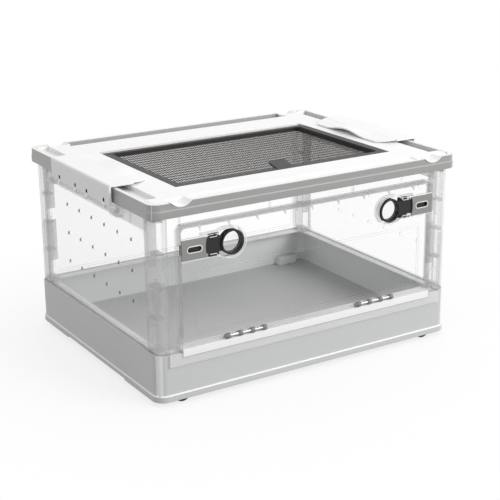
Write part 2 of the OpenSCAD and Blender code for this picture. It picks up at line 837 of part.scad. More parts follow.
// grey plate that keeps the bolt in its pocket
module latch_cover() {
    z0 = ring_z - cover_h / 2;
    slot_x = -(cover_x + leaf_w / 2) / 2;
    color(rim_grey) difference() {
        union() {
            upright(door_face - cover_t, door_face) difference() {
                translate([-leaf_w / 2, z0]) square([leaf_w / 2 - cover_x + 3, cover_h]);
                translate([-ring_x, ring_z]) circle(r = cover_arc, $fn = 96);
            }
            upright(door_face - cover_t - 0.5, door_face)
                translate([slot_x, ring_z]) rounded(slot_l + 2.4, slot_w + 2.4, slot_w / 2 + 1.19);
        }
        upright(door_face - cover_t - 1, door_face + 1)
            translate([slot_x, ring_z]) rounded(slot_l, slot_w, slot_w / 2 - 0.01);
    }
}
module latch_cover_left() { latch_cover(); }
module latch_cover_right() { mirror([1, 0, 0]) latch_cover(); }

// sliding bolt with its finger ring
module latch_bolt() {
    thick_end = -(leaf_w / 2 - rib_t - bolt_travel - 1);
    color(dark) difference() {
        union() {
            translate([0, 0, ring_z]) {
                rod_along_y(-ring_x, ring_face, slide_back, 0, ring_r);
                span([thick_end, slide_face, -neck_h / 2], [-ring_x, slide_back, neck_h / 2]);
                span([-leaf_w / 2 + 0.6, bolt_face, -bolt_h / 2], [-ring_x, slide_back, bolt_h / 2]);
                span([-ring_x - ring_r - wing_l - 1, door_face + 2.1, -wing_h / 2],
                    [-ring_x - ring_r - 1, slide_back, wing_h / 2]);
            }
        }
        rod_along_y(-ring_x, ring_face - 1, slide_back - 1, ring_z, ring_r - ring_wall);
        rod_along_y(-ring_x, ring_face - 1, slide_back + 1, ring_z, ring_r - ring_wall - 1);
    }
}
module latch_bolt_left() { latch_bolt(); }
module latch_bolt_right() { mirror([1, 0, 0]) latch_bolt(); }

module latch_lens() {
    color(clear_tint)
        rod_along_y(-ring_x, slide_back - 3, slide_back - 1, ring_z, ring_r - ring_wall - 0.05);
}
module latch_lens_left() { latch_lens(); }
module latch_lens_right() { mirror([1, 0, 0]) latch_lens(); }

// Lid

module lid_lobe() {
    intersection() {
        rod_along_y(-wheel_x, -rim_d / 2, -trough_in + 1.5, trough_z, trough_r + trough_wall);
        span([-far, -far, lid_base - 5], [far, far, z_top]);
    }
}

module lid_channels() {
    edge_x = rim_w / 2 - rim_wall;
    edge_y = rim_d / 2 - rim_wall;
    for (side = [0, 1])
        mirror([side, 0, 0])
            span([-edge_x - 1, -edge_y + 23, lid_floor], [-plateau_x, edge_y - 8, z_top + 1]);
    span([-edge_x + 45, plateau_back, lid_floor], [edge_x - 45, edge_y + 1, z_top + 1]);
    span([-edge_x + 56, -edge_y - 1, z_top - front_step],
        [edge_x - 56, plateau_front, z_top + 1]);
}

module lid_panel() {
    collar_w = collar_in_w + 2 * collar_t;
    color(lid_white) difference() {
        union() {
            difference() {
                slab(lid_w, lid_d, lid_r, lid_base, z_top);
                lid_channels();
                // the raised top is a sheet, hollow from below
                span([-plateau_x + 3, plateau_front + 3, lid_base - 1],
                    [plateau_x - 3, plateau_back - 3, z_top - 3]);
            }
            // skirt that stands on the rim's shelf
            difference() {
                slab(lid_w, lid_d, lid_r, collar_bot, lid_base + 0.1);
                slab(lid_w - 2 * lid_t, lid_d - 2 * lid_t, lid_r - lid_t,
                    collar_bot - 1, lid_base + 1);
            }
            for (right = [0, 1], back = [0, 1])
                at_corner(right, back) lid_lobe();
            // collar round the window, with bosses for its hinge pins
            span([-collar_w / 2, collar_front - collar_t, collar_bot],
                [collar_w / 2, collar_back + collar_t, z_top]);
            for (side = [0, 1])
                mirror([side, 0, 0])
                    span([-collar_w / 2 - 4, win_hinge_y - 5, collar_bot],
                        [-collar_in_w / 2, win_hinge_y + 5, z_top]);
        }
        // window opening above its ledge, then through the ledge
        span([-collar_in_w / 2, collar_front, win_bot - seat_gap],
            [collar_in_w / 2, collar_back, z_top + 1]);
        span([-win_w / 2 + 4.5, collar_front + 5, z_rim],
            [win_w / 2 - 4.5, collar_back, z_top + 1]);
        span([-collar_in_w / 2, win_hinge_y - 7, z_rim],
            [collar_in_w / 2, collar_back, z_top + 1]);
        rod_along_x(-collar_in_w / 2 - 4.2, collar_in_w / 2 + 4.2, win_hinge_y, win_hinge_z,
            win_pin_r + hold_gap);
        for (right = [0, 1], back = [0, 1])
            at_corner(right, back)
                rod_along_y(-wheel_x, -rim_d / 2 - 1, -trough_in, trough_z, trough_r);
    }
}

module window_pin() {
    color(steel)
        rod_along_x(-collar_in_w / 2 - 4, -win_w / 2 + 10, win_hinge_y, win_hinge_z, win_pin_r);
}
module window_pin_left() { window_pin(); }
module window_pin_right() { mirror([1, 0, 0]) window_pin(); }

module window_frame() {
    front = win_y - win_d / 2;
    color(dark) difference() {
        union() {
            difference() {
                translate([0, win_y, 0]) slab(win_w, win_d, 8, win_bot, win_top);
                span([-far, win_hinge_y, z_rim], [far, far, far]);
            }
            rod_along_x(-win_w / 2, win_w / 2, win_hinge_y, win_hinge_z, roll_r);
            translate([-tab_w / 2, front + 2, win_top - 2])
                rotate([11, 0, 0])
                    linear_extrude(2)
                        translate([tab_w / 2, tab_l / 2]) rounded(tab_w, tab_l, 3);
        }
        difference() {
            translate([0, win_y, 0])
                slab(win_w - 2 * bar_w, win_d - 2 * bar_w, 5, z_rim, z_top + far);
            translate([-tab_w / 2, front + 2, win_top - 2])
                rotate([11, 0, 0]) cube([tab_w, tab_l, 2]);
            translate([0, win_y, 0])
                slab(win_w - bar_w, win_d - bar_w, 6, win_bot, win_bot + 0.8);
        }
        translate([0, win_y, 0])
            slab(win_w - 2 * bar_w - 6, win_d - 2 * bar_w - 6, 4, z_rim, win_bot + 1);
        for (side = [-1, 1])
            translate([side * (win_w / 2 - 5), 0, 0])
                rod_along_x(-7, 7, win_hinge_y, win_hinge_z, win_pin_r + run_gap);
    }
}

module window_mesh() {
    w = win_w - 2 * bar_w - 0.2;
    d = win_d - 2 * bar_w - 0.2;
    edge = 4;
    step_x = (w - 2 * edge + strand_w) / net_cols;
    step_y = (d - 2 * edge + strand_w) / net_rows;
    color(net_grey)
        translate([0, win_y, win_bot + 0.8])
            linear_extrude(net_t) difference() {
                rounded(w, d, 4.9);
                for (i = [0:net_cols - 1], j = [0:net_rows - 1])
                    translate([-w / 2 + edge + i * step_x, -d / 2 + edge + j * step_y])
                        square([step_x - strand_w, step_y - strand_w]);
            }
}

// Lid clamps

// height of the finger lip's top above the clamp's flat, at u along and v across
function lip_wave(u) = abs(u) < 0.72 ? 0.5 + 0.5 * cos(180 * u / 0.72) : 0;
function lip_top(u, v) = v * v * (3 - 2 * v) * (-2.4 + (2.4 + lip_rise) * lip_wave(u));
function lip_half(v) = lip_l / 2 - 15 * pow(v, 1.6);

module finger_lip() {
    nu = 26;
    nv = 6;
    t = 1.9;
    x0 = -rod_x + clamp_flat - 1.5;
    pts = [for (s = [0, 1], j = [0:nv], i = [0:nu])
        let (u = 2 * i / nu - 1, v = j / nv)
            [x0 + v * (lip_reach + 1.5), u * lip_half(v), clamp_top - 0.15 + lip_top(u, v) - s * t]];
    function at(s, j, i) = s * (nu + 1) * (nv + 1) + j * (nu + 1) + i;
    top = [for (j = [0:nv - 1], i = [0:nu - 1]) each
        [[at(0, j, i), at(0, j, i + 1), at(0, j + 1, i + 1)],
            [at(0, j, i), at(0, j + 1, i + 1), at(0, j + 1, i)]]];
    low = [for (j = [0:nv - 1], i = [0:nu - 1]) each
        [[at(1, j, i), at(1, j + 1, i + 1), at(1, j, i + 1)],
            [at(1, j, i), at(1, j + 1, i), at(1, j + 1, i + 1)]]];
    ends = [for (j = [0:nv - 1]) each
        [[at(0, j, 0), at(0, j + 1, 0), at(1, j + 1, 0)], [at(0, j, 0), at(1, j + 1, 0), at(1, j, 0)],
            [at(0, j, nu), at(1, j + 1, nu), at(0, j + 1, nu)],
            [at(0, j, nu), at(1, j, nu), at(1, j + 1, nu)]]];
    rims = [for (i = [0:nu - 1]) each
        [[at(0, 0, i), at(1, 0, i), at(1, 0, i + 1)], [at(0, 0, i), at(1, 0, i + 1), at(0, 0, i + 1)],
            [at(0, nv, i), at(0, nv, i + 1), at(1, nv, i + 1)],
            [at(0, nv, i), at(1, nv, i + 1), at(1, nv, i)]]];
    polyhedron(points = pts, faces = concat(top, low, ends, rims));
}

module clamp() {
    round_r = 3;
    side_in = clamp_out - clamp_t - 0.2;
    color(lid_white) difference() {
        union() {
            // side and flat top, drawn as one angle profile
            upright(-clamp_l / 2, clamp_l / 2) difference() {
                union() {
                    translate([-clamp_out, clamp_low])
                        square([clamp_out - side_in, clamp_top - clamp_low - round_r]);
                    translate([-clamp_out + round_r, clamp_top - clamp_t])
                        square([clamp_out - round_r - rod_x + clamp_flat, clamp_t]);
                    translate([-clamp_out + round_r, clamp_top - round_r]) circle(r = round_r);
                }
                translate([-side_in, clamp_low - 1])
                    square([50, clamp_top - clamp_t - clamp_low + 1]);
            }
            finger_lip();
            // rib that drops behind the edge of the lid's raised top
            span([-plateau_x - 5, -clamp_l / 2 + 10, z_top - 1.2],
                [-plateau_x - 3, clamp_l / 2 - 10, clamp_top - clamp_t + 0.5]);
            // hooks that snap round the rod
            for (y = hooks)
                difference() {
                    rod_along_y(-rod_x, y - hook_w / 2, y + hook_w / 2, rod_z, rod_eye);
                    span([-far, y - hook_w, 0], [far, y + hook_w, rod_z - 1.6]);
                }
        }
        // slot above each hook
        for (y = hooks) {
            span([-clamp_out - 1, y - 2.2, rod_z + rod_eye + 0.2],
                [-side_in + 1, y + 2.2, rod_z + rod_eye + 3]);
            translate([-clamp_out - 1, y, rod_z + rod_eye + 3])
                rotate([0, 90, 0]) cylinder(h = clamp_t + 3, r = 2.2, $fn = 24);
        }
        rod_along_y(-rod_x, -far / 2, far / 2, rod_z, rod_r + run_gap);
    }
}
module clamp_left() { clamp(); }
module clamp_right() { mirror([1, 0, 0]) clamp(); }

base_tub();
door_sill();
front_frame();
back_wall();
left_wall();
right_wall();
post_front_left();
post_front_right();
post_back_left();
post_back_right();
top_rim();
hinge_bracket_left();
hinge_bracket_right();
door_pin_left();
door_pin_right();
clamp_rod_left();
clamp_rod_right();
axle_front_left();
axle_front_right();
axle_back_left();
axle_back_right();
door_panel();
latch_cover_left();
latch_cover_right();
latch_bolt_left();
latch_bolt_right();
latch_lens_left();
latch_lens_right();
lid_panel();
window_pin_left();
window_pin_right();
window_frame();
window_mesh();
clamp_left();
clamp_right();
wheel_front_left();
wheel_front_right();
wheel_back_left();
wheel_back_right();
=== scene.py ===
import json
import math

import bpy
from mathutils import Matrix, Vector

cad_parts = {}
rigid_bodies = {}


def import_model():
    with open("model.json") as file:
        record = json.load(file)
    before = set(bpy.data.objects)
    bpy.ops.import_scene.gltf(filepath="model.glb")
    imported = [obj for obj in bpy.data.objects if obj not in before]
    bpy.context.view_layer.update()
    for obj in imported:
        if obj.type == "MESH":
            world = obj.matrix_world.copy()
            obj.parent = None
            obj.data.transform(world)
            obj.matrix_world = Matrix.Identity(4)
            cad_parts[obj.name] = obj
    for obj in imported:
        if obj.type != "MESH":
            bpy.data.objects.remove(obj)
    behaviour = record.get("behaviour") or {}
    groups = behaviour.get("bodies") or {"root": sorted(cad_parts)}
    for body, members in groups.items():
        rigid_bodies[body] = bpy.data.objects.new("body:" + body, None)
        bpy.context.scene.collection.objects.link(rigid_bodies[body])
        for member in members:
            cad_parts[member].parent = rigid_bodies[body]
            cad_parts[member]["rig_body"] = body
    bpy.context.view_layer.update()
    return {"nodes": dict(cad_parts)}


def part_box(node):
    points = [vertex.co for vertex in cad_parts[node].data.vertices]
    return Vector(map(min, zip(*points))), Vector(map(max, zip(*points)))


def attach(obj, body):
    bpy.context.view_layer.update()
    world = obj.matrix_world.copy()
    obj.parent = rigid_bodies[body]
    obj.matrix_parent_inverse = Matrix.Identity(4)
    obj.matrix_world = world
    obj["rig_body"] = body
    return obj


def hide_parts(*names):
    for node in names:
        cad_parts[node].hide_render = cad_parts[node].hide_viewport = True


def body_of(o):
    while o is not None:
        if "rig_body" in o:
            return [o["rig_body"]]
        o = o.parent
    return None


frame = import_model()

mm = 0.001


# Shader maths written as plain expressions

class Value:
    """One socket of a node tree; arithmetic on it adds the Math nodes."""

    def __init__(self, nodes, socket):
        self.nodes = nodes
        self.socket = socket

    def maths(self, operation, *others, swap=False):
        sides = [self, *others]
        if swap:
            sides.reverse()
        return self.nodes.add("ShaderNodeMath", {"operation": operation},
            {i: side for i, side in enumerate(sides)})

    def __add__(self, other):
        return self.maths("ADD", other)

    def __radd__(self, other):
        return self.maths("ADD", other)

    def __sub__(self, other):
        return self.maths("SUBTRACT", other)

    def __rsub__(self, other):
        return self.maths("SUBTRACT", other, swap=True)

    def __mul__(self, other):
        return self.maths("MULTIPLY", other)

    def __truediv__(self, other):
        return self.maths("DIVIDE", other)

    def __gt__(self, other):
        return self.maths("GREATER_THAN", other)

    def __lt__(self, other):
        return self.maths("LESS_THAN", other)

    def size(self):
        return self.maths("ABSOLUTE")

    def squared(self):
        return self.maths("MULTIPLY", self)

    def root(self):
        return self.maths("SQRT")

    def rounded(self):
        return self.maths("ROUND")

    def most(self, other):
        return self.maths("MAXIMUM", other)

    def clamped(self):
        value = self.maths("ADD", 0.0)
        value.socket.node.use_clamp = True
        return value


class Nodes:
    """A node tree, emptied, and what is added to it."""

    def __init__(self, tree):
        self.tree = tree
        tree.nodes.clear()

    def add(self, kind, settings=None, sockets=None, out=0):
        node = self.tree.nodes.new(kind)
        for key, value in (settings or {}).items():
            setattr(node, key, value)
        for key, value in (sockets or {}).items():
            if isinstance(value, Value):
                self.tree.links.new(value.socket, node.inputs[key])
            else:
                node.inputs[key].default_value = value
        return Value(self, node.outputs[out])

    def seen(self):
        """One where a ray comes from the camera, a reflection or a see-through face."""
        rays = [self.add("ShaderNodeLightPath", {}, {}, ray)
            for ray in ("Is Camera Ray", "Is Glossy Ray", "Is Transmission Ray")]
        return rays[0].most(rays[1]).most(rays[2])

    def either(self, share, first, second):
        return self.add("ShaderNodeMixShader", {}, {0: share, 1: first, 2: second})

    def end(self, kind, shader):
        node = self.tree.nodes.new(kind)
        self.tree.links.new(shader.socket, node.inputs[0])


class Finish(Nodes):
    """A material and the nodes that make it."""

    def __init__(self, name):
        self.material = bpy.data.materials.new(name)
        self.material.use_nodes = True
        super().__init__(self.material.node_tree)
        self.place = self.add("ShaderNodeTexCoord", {}, {}, "Object")
        self.facing = self.add("ShaderNodeTexCoord", {}, {}, "Normal")

    def axes(self, vector):
        return [self.add("ShaderNodeSeparateXYZ", {}, {0: vector}, i) for i in range(3)]

    def noise(self, scale, detail=2.0):
        return self.add("ShaderNodeTexNoise", {},
            {"Vector": self.place, "Scale": scale, "Detail": detail})

    def blend(self, share, first, second):
        """A colour mix, whose colour sockets are the node's seventh and eighth."""
        return self.add("ShaderNodeMix", {"data_type": "RGBA"}, {0: share, 6: first, 7: second}, 2)

    def bump(self, height, strength, depth):
        return self.add("ShaderNodeBump", {},
            {"Strength": strength, "Distance": depth, "Height": height})

    def surface(self, sockets):
        return self.add("ShaderNodeBsdfPrincipled", {}, sockets)

    def done(self, shader):
        self.end("ShaderNodeOutputMaterial", shader)
        return self.material


class Spot:
    """The point being shaded: its place, and the way that its face looks."""

    def __init__(self, finish):
        self.x, self.y, self.z = finish.axes(finish.place)
        self.nx, self.ny, self.nz = finish.axes(finish.facing)


def grey(level):
    return (level, level, level, 1.0)


def tone(red, green, blue):
    return (red, green, blue, 1.0)


# Places that the finishes mark, worked out from the frame

def middle(node, axis):
    low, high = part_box(node)
    return (low[axis] + high[axis]) / 2


tub_low, tub_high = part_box("base_tub")
rim_low, rim_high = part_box("top_rim")
frame_low, frame_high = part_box("front_frame")
post_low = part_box("post_back_left")[0]
cover_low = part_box("latch_cover_left")[0]
clamp_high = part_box("clamp_left")[1]

# a face counts as square to an axis, or as looking up, over these shares of its direction
square = 0.5
upward = 0.3

# insets from the foot lip's outer sides: to the middle of the tub's wall, to just before the
# wall's inner side, and to just before the inner sides of the side walls' borders
mid_wall_in = 3.3 * mm
tub_side_in = 4.3 * mm
border_in = 7.6 * mm
tub_side_x = tub_high.x - tub_side_in
tub_side_y = tub_high.y - tub_side_in
border_x = tub_high.x - border_in
border_y = tub_high.y - border_in

# just past the returns of the corner posts, on the way out
return_face = post_low.y + 2.5 * mm

# vent holes: the distances between them, their grid's place, their radius and their field
vent_pitch = 37.0 * mm
vent_row_pitch = 39.5 * mm
vent_y = -4.1 * mm
vent_z = tub_high.z + 53.0 * mm
vent_r = 3.5 * mm
vent_field_y = (-125.0 * mm, 80.0 * mm)
vent_field_z = (tub_high.z + 43.5 * mm, tub_high.z + 139.5 * mm)

# the slits above and below each latch's neck, measured from the ring's middle
slit_up = (11.3 * mm, 16.2 * mm)
slit_out = (20.9 * mm, 33.4 * mm)
latch_x = -middle("latch_lens_left", 0)
latch_z = middle("latch_lens_left", 2)


def between(value, low, high):
    return (value > low) * (value < high)


def from_nearest(along, pitch):
    """How far along a row the nearest of its evenly spaced middles is."""
    return along - (along / pitch).rounded() * pitch


def lip_top_highlight(at):
    """The top of the lip round the tub's foot, painted light as a highlight."""
    over_lip = tub_low.z + 20.5 * mm
    return (at.nz > upward) * (at.z < over_lip) * (
        at.x.size() > tub_side_x).most(at.y.size() > tub_side_y)


def ledge_inside_painted_light(at):
    """The top of the tub's ledge, within the clear walls, painted light against the shade under
    the lid.
    """
    under_ledge = tub_high.z - 6.5 * mm
    return (at.nz > upward) * (at.z > under_ledge) * (
        at.x.size() < border_x) * (at.y.size() < border_y)


def tub_inside_painted_light(at):
    """The tub's inner sides, down to just over its floor, painted light against the shade under
    the lid.
    """
    over_floor = tub_low.z + 8.5 * mm
    return (at.nz.size() < square) * (at.z > over_floor) * (
        at.x.size() < tub_high.x - mid_wall_in) * (at.y.size() < tub_high.y - mid_wall_in)


def apron(at):
    """Where the front and back plates hang down over the tub."""
    return (at.z < tub_high.z - 0.2 * mm) * (at.ny.size() > square)


def slot_bead(at):
    """The bead that stands out round a latch cover's slot."""
    return at.y < cover_low.y + 0.3 * mm


def corner_highlight(at):
    """A thin strip at each corner of the rim, painted light as a highlight."""
    highlight_from_corner = 1.0 * mm
    half_highlight = 0.5 * mm
    longer_by = rim_high.x - rim_high.y
    return (at.x.size() - at.y.size() - (longer_by + highlight_from_corner)).size() < half_highlight


def hook_slot_shade(at):
    """The insides of the slots over the clamps' hooks, painted near black as the shade in the
    slots.
    """
    slot_foot = rim_low.z - 0.4 * mm
    slot_head = rim_low.z + 5.4 * mm
    slots_end = clamp_high.y - 6.0 * mm
    return (at.nx.size() < 0.6) * (at.x.size() > rim_high.x + 3.5 * mm) * between(
        at.z, slot_foot, slot_head) * (at.y.size() < slots_end)


def vent_field(at):
    return between(at.y, *vent_field_y) * between(at.z, *vent_field_z)


def vent_bore(at):
    """The insides of the vent holes."""
    return (at.nx.size() < square) * vent_field(at)


def vent_back_edge_shade(at):
    """The back edge inside each vent hole, where painted shade goes."""
    edge_from = vent_r - 0.8 * mm
    return vent_bore(at) * (from_nearest(at.y - vent_y, vent_pitch) > edge_from)


def vent_rim(at):
    """A thin ring round each vent hole."""
    ring_r = vent_r + 0.7 * mm
    beside = from_nearest(at.y - vent_y, vent_pitch)
    above = from_nearest(at.z - vent_z, vent_row_pitch)
    return (at.nx.size() > square) * vent_field(at) * (
        beside.squared() + above.squared() < ring_r ** 2)


def border_inside(at):
    """The inner side of a side wall's border."""
    return (at.x.size() < border_x) * (at.nx.size() > square)


def top_rail_inside(at):
    """The part of that border above the window."""
    return border_inside(at) * (at.z > rim_low.z - 21.5 * mm)


def window_head(at):
    """The underside of that rail."""
    return (at.nz < -square) * (at.z > rim_low.z - 22.0 * mm) * (at.x.size() < tub_side_x)


def ear(at):
    """The ears that hold the clamps' rods."""
    return (at.x.size() > tub_high.x - 0.8 * mm) * (at.y.size() > clamp_high.y + 1.0 * mm)


def post_return(at):
    """The return behind each corner post."""
    return (at.ny.size() > square) * (at.y.size() < return_face)


def post_foot(at):
    """The lower part of each corner post's outer leg."""
    foot_top = tub_high.z + 82.5 * mm
    return (at.ny.size() > square) * (at.y.size() > return_face) * (at.z < foot_top)


def tick_foot(at):
    """The small ribs above the doorway, from their feet up."""
    return (at.nx.size() > square) * (at.z > rim_low.z - 11.5 * mm) * (
        at.x.size() < frame_high.x - 14.0 * mm)


def tick(at):
    """The upper, front part of those ribs."""
    return tick_foot(at) * (at.z > rim_low.z - 7.5 * mm) * (at.y < frame_low.y + 2.6 * mm)


def latch_surround(at):
    """The edge that stands out round each latch."""
    return (at.y < frame_low.y + 0.2 * mm) * (at.z > tub_high.z + 83.5 * mm)


def door_foot(at):
    """The foot of the door, down to its hinge."""
    return at.z < tub_high.z + 17.0 * mm


def latch_slit(at):
    """The slits above and below each latch's neck."""
    return between((at.z - latch_z).size(), *slit_up) * between(
        at.x.size() - latch_x, *slit_out) * (
        at.ny.size() < square) * (at.y < frame_low.y + 2.8 * mm)


# Finishes

plastic_ior = 1.49
grain_depth = 0.3 * mm
ripple_depth = 0.6 * mm

# the share of its brightness that opaque plastic keeps where it is most clouded
cloud_shade = 0.955

# how much the cover of clear plastic varies, and how soon it turns a face to its edge's grey
uneven_cover = 0.28
cover_to_edge = 2.6


def moulded_plastic(name, colour, shine=0.36, top=None, side=None, marks=()):
    """Opaque moulded plastic: fine tool-mark grain, faint clouding and uneven gloss.
    Faces that look up or sideways may be painted a tone of their own for how light falls on them,
    and each mark's place is painted its given tone."""
    finish = Finish(name)
    at = Spot(finish)
    cloud = finish.noise(scale=14.0, detail=3.0)
    flecks = finish.noise(scale=420.0, detail=1.0)
    clouded = tuple(level * cloud_shade for level in colour[:3]) + (1.0,)
    base = finish.blend((cloud * 0.5).clamped(), colour, clouded)
    # painted light and shade: faces that look sideways or up take the tones given for how the
    # lamps fall on them
    if side:
        base = finish.blend(at.nx.squared(), base, side)
    if top:
        turned_up = (at.nz * 1.4 - 0.4).clamped()
        base = finish.blend(turned_up, base, top)
    for where, shade in marks:
        base = finish.blend(where(at), base, shade)
    rough = (cloud - 0.5) * 0.10 + (flecks - 0.5) * 0.08 + shine
    dents = finish.noise(scale=1300.0) + finish.noise(scale=90.0, detail=1.0) * 1.5
    return finish.done(finish.surface({"Base Color": base, "Roughness": rough, "IOR": plastic_ior,
        "Normal": finish.bump(dents, strength=0.06, depth=grain_depth)}))


def clear_plastic(name, cover, face=0.93, edge=0.55, gloss=1.1, marks=(), calm=None):
    """Clear moulded plastic. Cover is how strongly its faces show that look along X, Y and Z: the
    broad faces all but vanish, and flanges and cut edges turn grey. Each mark is a place that
    shows more: which faces, how strongly, and their grey. Gloss is the glance of slanting faces,
    and calm is the place that has none."""
    finish = Finish(name)
    at = Spot(finish)
    shown = sum(way.squared() * share for way, share in zip((at.nx, at.ny, at.nz), cover))
    cloud = finish.noise(scale=30.0, detail=3.0)
    shown = (shown * (cloud * uneven_cover + (1.0 - uneven_cover / 2))).clamped()
    base = finish.blend((shown * cover_to_edge).clamped(), grey(face), grey(edge))
    for where, strength, level in marks:
        spot = where(at)
        shown = shown * (1.0 - spot) + spot * strength
        base = finish.blend(spot, base, grey(level))
    glance = finish.add("ShaderNodeLayerWeight", {}, {"Blend": 0.5}, "Facing").squared().squared()
    if calm:
        glance = glance * (1.0 - calm(at))
    share = (glance * gloss * (1.0 - shown) + shown).clamped()
    rough = finish.noise(scale=55.0) * 0.10 + 0.10
    ripple = finish.bump(finish.noise(scale=60.0), strength=0.05, depth=ripple_depth)
    body = finish.surface({"Base Color": base, "Roughness": rough, "IOR": plastic_ior,
        "Normal": ripple})
    through = finish.add("ShaderNodeBsdfTransparent", {}, {"Color": grey(1.0)})
    return finish.done(finish.either(share, through, body))


def satin_black(name, level, shine, gloss=0.5):
    """Dark plastic with a fine spark-eroded texture."""
    finish = Finish(name)
    cloud = finish.noise(scale=40.0, detail=3.0)
    base = finish.blend(cloud, grey(level), grey(level * 1.35))
    sparks = finish.bump(finish.noise(scale=1500.0), strength=0.10, depth=grain_depth)
    return finish.done(finish.surface({"Base Color": base, "IOR": plastic_ior,
        "Roughness": (cloud - 0.5) * 0.16 + shine, "Specular IOR Level": gloss,
        "Normal": sparks}))


def drawn_steel(name):
    finish = Finish(name)
    streak = finish.noise(scale=260.0)
    return finish.done(finish.surface({"Base Color": finish.blend(streak, grey(0.50), grey(0.68)),
        "Metallic": 1.0, "Roughness": streak * 0.16 + 0.24}))


def net_thread(name):
    finish = Finish(name)
    twist = finish.noise(scale=900.0)
    colour = finish.blend(twist, tone(0.032, 0.025, 0.023), tone(0.060, 0.048, 0.045))
    return finish.done(finish.surface({"Base Color": colour, "Roughness": twist * 0.1 + 0.62,
        "Normal": finish.bump(twist, strength=0.25, depth=grain_depth)}))


# the lip top gets a painted highlight; the inner ledge and inner sides are painted light against
# the shade inside
tub_grey = moulded_plastic("tub grey plastic", tone(0.60, 0.612, 0.604), marks=(
    (lip_top_highlight, tone(0.94, 0.94, 0.935)), (ledge_inside_painted_light, tone(0.90, 0.91, 0.905)),
    (tub_inside_painted_light, tone(0.86, 0.872, 0.865))))
# the rim's top faces are painted near white and its sideways faces lighter than its front, as
# painted light; its corners get a painted highlight
rim_grey = moulded_plastic("rim grey plastic", tone(0.345, 0.345, 0.34),
    top=tone(0.86, 0.86, 0.855), side=tone(0.49, 0.49, 0.485),
    marks=((corner_highlight, tone(0.88, 0.88, 0.875)),))
lid_white = moulded_plastic("lid white plastic", tone(0.92, 0.92, 0.915), shine=0.34)
clamp_white = moulded_plastic("clamp white plastic", tone(0.91, 0.915, 0.91), shine=0.34,
    marks=((hook_slot_shade, tone(0.03, 0.03, 0.03)),))
sill_white = moulded_plastic("sill white plastic", tone(0.92, 0.92, 0.915), shine=0.3)
cover_grey = moulded_plastic("latch cover grey plastic", tone(0.27, 0.27, 0.265), shine=0.38,
    marks=((slot_bead, tone(0.86, 0.86, 0.855)),))
frame_black = satin_black("window frame dark plastic", 0.066, shine=0.62, gloss=0.25)
latch_black = satin_black("latch black plastic", 0.012, shine=0.40, gloss=0.35)
wheel_black = satin_black("wheel black plastic", 0.02, shine=0.5)
# the hinge knuckles are clear plastic; this dark grey is painted shade and painted reflection
hinge_painted_shade = satin_black("hinge plastic painted with shade", 0.18, shine=0.42, gloss=0.4)
steel = drawn_steel("drawn steel")
thread = net_thread("net thread")


def side_wall_clear(name, back_edge, back_grey):
    """A side wall's clear plastic, with the painted shade on each vent hole's back edge as given.
    """
    return clear_plastic(name, (0.004, 0.22, 0.22), gloss=0.7, calm=vent_bore, marks=(
        (border_inside, 0.22, 0.74), (top_rail_inside, 0.55, 0.66), (window_head, 0.75, 0.46),
        (ear, 0.34, 0.96), (vent_rim, 0.10, 0.50), (vent_bore, 0.03, 0.80),
        (vent_back_edge_shade, back_edge, back_grey)))


# the left wall's vent holes get a darker, stronger painted shade on their back edges than the
# right wall's
left_clear = side_wall_clear("left wall clear plastic", 0.80, 0.16)
right_clear = side_wall_clear("right wall clear plastic", 0.28, 0.30)
post_clear = clear_plastic("corner post clear plastic", (0.06, 0.06, 0.30), marks=(
    (post_foot, 0.26, 0.66), (post_return, 0.34, 0.60)))
front_clear = clear_plastic("front frame clear plastic", (0.25, 0.008, 0.34), edge=0.66, marks=(
    (tick_foot, 0.05, 0.80), (tick, 0.70, 0.24), (apron, 0.42, 0.97)))
door_clear = clear_plastic("door clear plastic", (0.30, 0.005, 0.24), marks=(
    (door_foot, 0.05, 0.95), (latch_surround, 0.80, 0.95), (latch_slit, 0.95, 0.02)))
back_clear = clear_plastic("back wall clear plastic", (0.12, 0.004, 0.14), marks=(
    (apron, 0.42, 0.97),))
rod_clear = clear_plastic("rod clear plastic", (0.42, 0.42, 0.42), face=0.97, edge=0.93)
lens_clear = clear_plastic("latch lens clear plastic", (0.30, 0.06, 0.30))

finish_of = {
    "base_tub": tub_grey, "top_rim": rim_grey, "lid_panel": lid_white, "door_sill": sill_white,
    "clamp_left": clamp_white, "clamp_right": clamp_white,
    "latch_cover_left": cover_grey, "latch_cover_right": cover_grey,
    "latch_bolt_left": latch_black, "latch_bolt_right": latch_black,
    "latch_lens_left": lens_clear, "latch_lens_right": lens_clear,
    "hinge_bracket_left": hinge_painted_shade, "hinge_bracket_right": hinge_painted_shade,
    "window_frame": frame_black, "window_mesh": thread,
    "front_frame": front_clear, "door_panel": door_clear, "back_wall": back_clear,
    "left_wall": left_clear, "right_wall": right_clear,
    "clamp_rod_left": rod_clear, "clamp_rod_right": rod_clear,
}
for node, part in frame["nodes"].items():
    if node.startswith("post_"):
        finish_of[node] = post_clear
    elif node.startswith("wheel_"):
        finish_of[node] = wheel_black
    elif node not in finish_of:
        finish_of[node] = steel
    part.data.materials.clear()
    part.data.materials.append(finish_of[node])


# Modelling helpers


def nothing_selected():
    for thing in bpy.context.view_layer.objects:
        thing.select_set(False)


def only(thing):
    nothing_selected()
    thing.select_set(True)
    bpy.context.view_layer.objects.active = thing


def settled(thing, name, body, finish, replaced):
    """Puts a finished piece's place into its mesh, dresses it and hangs it on its body."""
    only(thing)
    bpy.ops.object.transform_apply(location=True, rotation=True, scale=True)
    thing.name = name
    thing.data.materials.clear()
    thing.data.materials.append(finish)
    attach(thing, body)
    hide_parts(replaced)


def pick(piece, wanted):
    """Selects the corners of a piece that are wanted, for the next edit."""
    bpy.ops.object.mode_set(mode="OBJECT")
    for parts in (piece.data.polygons, piece.data.edges):
        for part in parts:
            part.select = False
    for corner in piece.data.vertices:
        corner.select = wanted(corner.co)
    bpy.ops.object.mode_set(mode="EDIT")


